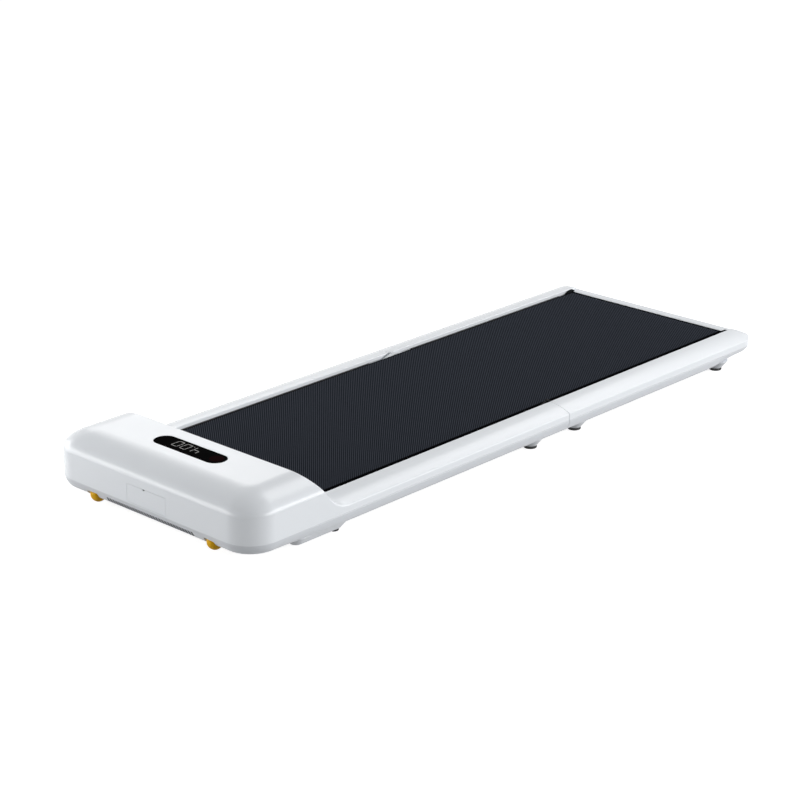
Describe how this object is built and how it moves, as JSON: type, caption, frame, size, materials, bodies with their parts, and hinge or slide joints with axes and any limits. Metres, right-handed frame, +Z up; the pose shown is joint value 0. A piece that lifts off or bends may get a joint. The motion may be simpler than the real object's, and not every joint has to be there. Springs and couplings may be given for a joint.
{
  "type": "folding walking pad",
  "caption": "Slim folding walking pad: white shell halves on a centre hinge, endless belt on rollers, domed motor hood with a display, transport wheels and rubber feet.",
  "frame": {"origin": "on the floor, under the middle of the bounding box", "axes": "+X from the motor head to the tail, +Z up, +Y to the right hand of a walker who faces the head"},
  "size_m": [1.445, 0.519, 0.122],
  "materials": {
    "white_shell": "satin gloss white moulding",
    "white_under": "finely textured white moulding",
    "belt_rubber": "dark grey belt with a fine diamond tread",
    "black_rubber": "soft black rubber",
    "black_plastic": "fine grained black moulding",
    "dark_lens": "smooth smoked window",
    "wheel_orange": "moulded orange-yellow tyre and hub",
    "deck_board": "waxed fibre board",
    "frame_steel": "black powder coat",
    "bare_steel": "turned and zinc plated steel",
    "cast_aluminium": "plain cast aluminium",
    "motor_paint": "black motor enamel",
    "board_green": "green circuit board",
    "capacitor_sleeve": "dark blue shrink sleeve",
    "pin_brass": "plated brass"
  },
  "bodies": {
    "front": {"hood": "white_shell", "head_shell": "white_shell", "front_left_rail": "white_shell", "front_right_rail": "white_shell", "front_tray": "white_under", "front_foot_cups": "white_under", "foot_pods": "white_under", "walking_belt": "belt_rubber", "front_feet": "black_rubber", "front_cushions": "black_rubber", "drive_belt": "black_rubber", "power_bay": "black_plastic", "mains_inlet": "black_plastic", "switch_body": "black_plastic", "display_housing": "black_plastic", "display_lens": "dark_lens", "front_deck": "deck_board", "front_left_tube": "frame_steel", "front_right_tube": "frame_steel", "front_cross_tubes": "frame_steel", "front_axle_brackets": "frame_steel", "motor_cradle": "frame_steel", "wheel_forks": "frame_steel", "front_hinge_leaves": "frame_steel", "front_axle": "bare_steel", "hinge_pins": "bare_steel", "wheel_axles": "bare_steel", "heat_sink": "cast_aluminium", "motor_housing": "motor_paint", "controller_board": "board_green", "display_board": "board_green", "capacitors": "capacitor_sleeve", "inlet_pins": "pin_brass"},
    "rear": {"rear_tray": "white_under", "rear_left_rail": "white_shell", "rear_right_rail": "white_shell", "tail_cover": "white_shell", "rear_left_tube": "frame_steel", "rear_right_tube": "frame_steel", "rear_cross_tubes": "frame_steel", "rear_cushions": "black_rubber", "rear_deck": "deck_board", "rear_axle": "bare_steel", "rear_axle_brackets": "frame_steel", "tension_bolts": "bare_steel", "corner_guards": "black_plastic", "rear_hinge_leaves": "frame_steel", "rear_feet": "black_rubber", "rear_foot_cups": "white_under"},
    "front_roller": {"front_roller": "bare_steel", "front_roller_bearings": "bare_steel", "roller_pulley": "cast_aluminium"},
    "rear_roller": {"rear_roller": "bare_steel", "rear_roller_bearings": "bare_steel"},
    "motor_rotor": {"motor_rotor": "bare_steel", "motor_pulley": "cast_aluminium"},
    "left_wheel": {"left_wheel": "wheel_orange"},
    "right_wheel": {"right_wheel": "wheel_orange"},
    "power_flap": {"power_flap": "white_shell"},
    "switch_rocker": {"switch_rocker": "black_plastic"}
  },
  "joints": [
    {"name": "deck_fold", "type": "hinge", "parent": "front", "child": "rear", "pos_m": [0.1092, 0, 0.0652], "axis": [0, -1, 0], "range_deg": [0, 180], "deforming": ["walking_belt"]},
    {"name": "front_roller_spin", "type": "hinge", "parent": "front", "child": "front_roller", "pos_m": [-0.5725, 0, 0.0418], "axis": [0, 1, 0], "continuous": true},
    {"name": "rear_roller_spin", "type": "hinge", "parent": "rear", "child": "rear_roller", "pos_m": [0.6813, 0, 0.0418], "axis": [0, 1, 0], "continuous": true},
    {"name": "motor_spin", "type": "hinge", "parent": "front", "child": "motor_rotor", "pos_m": [-0.6625, 0, 0.066], "axis": [0, 1, 0], "continuous": true},
    {"name": "left_wheel_spin", "type": "hinge", "parent": "front", "child": "left_wheel", "pos_m": [-0.7015, -0.1515, 0.0219], "axis": [0, 1, 0], "continuous": true},
    {"name": "right_wheel_spin", "type": "hinge", "parent": "front", "child": "right_wheel", "pos_m": [-0.7015, 0.1515, 0.0219], "axis": [0, 1, 0], "continuous": true},
    {"name": "flap_open", "type": "hinge", "parent": "front", "child": "power_flap", "pos_m": [-0.72115, 0, 0.04375], "axis": [0, -1, 0], "range_deg": [0, 90]},
    {"name": "switch_rock", "type": "hinge", "parent": "front", "child": "switch_rocker", "pos_m": [-0.6785, 0.02, 0.059], "axis": [0, 0, 1], "range_deg": [-7, 7]}
  ],
  "couplings": [
    {"joint": "rear_roller_spin", "follows": "front_roller_spin", "ratio": 1},
    {"joint": "motor_spin", "follows": "front_roller_spin", "ratio": 1.7}
  ]
}
